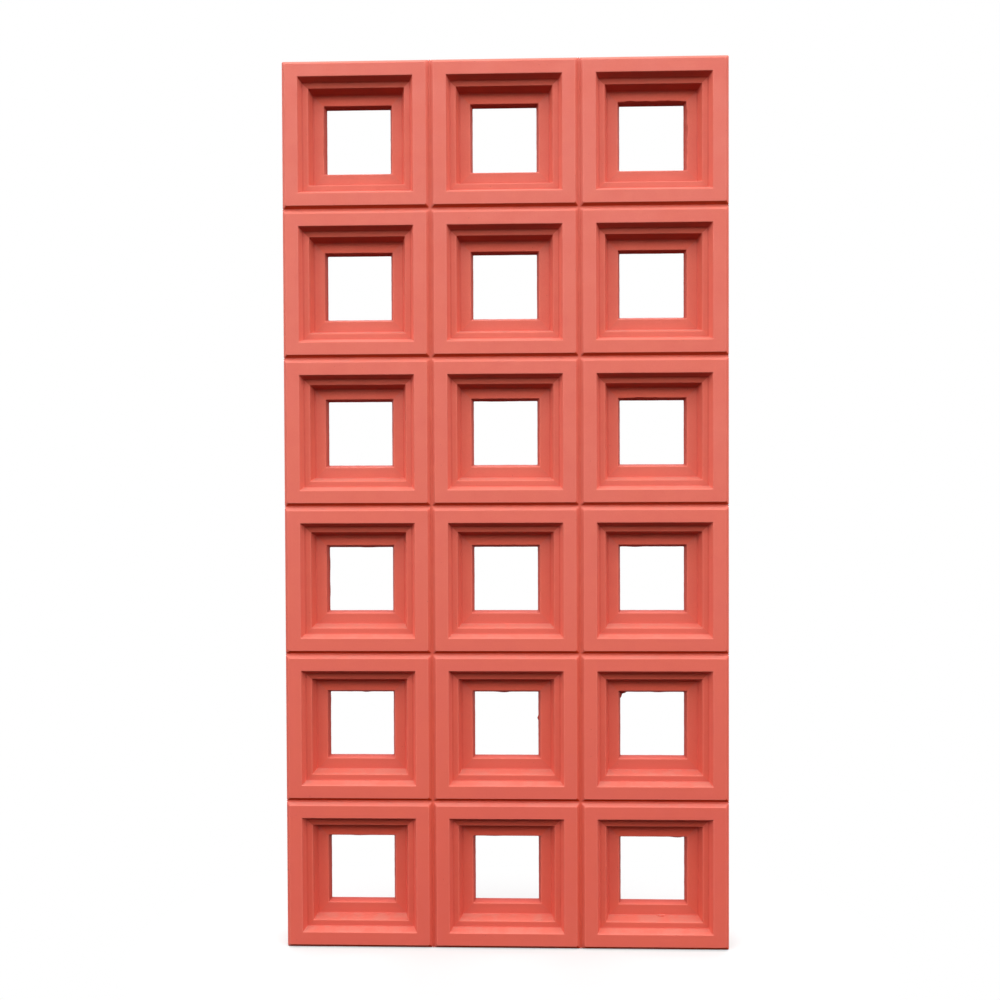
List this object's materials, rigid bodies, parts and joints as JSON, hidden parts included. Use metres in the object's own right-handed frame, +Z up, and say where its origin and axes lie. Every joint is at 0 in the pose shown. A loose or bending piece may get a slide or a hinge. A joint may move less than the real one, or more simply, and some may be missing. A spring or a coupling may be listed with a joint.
{
  "type": "hollow brick partition panel",
  "caption": "Upright screen of square hollow bricks in a stack bond, with stepped recesses round square through openings, keyed adhesive joints and hidden tie rods.",
  "frame": {"origin": "middle of the bottom edge, at half the panel's depth, on the floor", "axes": "+Z up, +X along the panel to the right as seen from the front, front faces -Y"},
  "size_m": [0.5986, 0.065, 1.1985],
  "materials": {
    "painted_brick": "satin coral masonry paint on cast cement, arrises rounded to about 1 mm",
    "painted_joint": "satin coral masonry paint on adhesive, tooled flush between the chamfers",
    "rod_steel": "plain drawn steel bar, cut square"
  },
  "bodies": {
    "root": {"brick_row1_col1": "painted_brick", "brick_row1_col2": "painted_brick", "brick_row1_col3": "painted_brick", "brick_row2_col1": "painted_brick", "brick_row2_col2": "painted_brick", "brick_row2_col3": "painted_brick", "brick_row3_col1": "painted_brick", "brick_row3_col2": "painted_brick", "brick_row3_col3": "painted_brick", "brick_row4_col1": "painted_brick", "brick_row4_col2": "painted_brick", "brick_row4_col3": "painted_brick", "brick_row5_col1": "painted_brick", "brick_row5_col2": "painted_brick", "brick_row5_col3": "painted_brick", "brick_row6_col1": "painted_brick", "brick_row6_col2": "painted_brick", "brick_row6_col3": "painted_brick", "head_joint_row1_gap1": "painted_joint", "head_joint_row1_gap2": "painted_joint", "head_joint_row2_gap1": "painted_joint", "head_joint_row2_gap2": "painted_joint", "head_joint_row3_gap1": "painted_joint", "head_joint_row3_gap2": "painted_joint", "head_joint_row4_gap1": "painted_joint", "head_joint_row4_gap2": "painted_joint", "head_joint_row5_gap1": "painted_joint", "head_joint_row5_gap2": "painted_joint", "head_joint_row6_gap1": "painted_joint", "head_joint_row6_gap2": "painted_joint", "bed_joint_1": "painted_joint", "bed_joint_2": "painted_joint", "bed_joint_3": "painted_joint", "bed_joint_4": "painted_joint", "bed_joint_5": "painted_joint", "bed_rod_1": "rod_steel", "bed_rod_2": "rod_steel", "bed_rod_3": "rod_steel", "bed_rod_4": "rod_steel", "bed_rod_5": "rod_steel", "upright_rod_1": "rod_steel", "upright_rod_2": "rod_steel"}
  },
  "joints": []
}
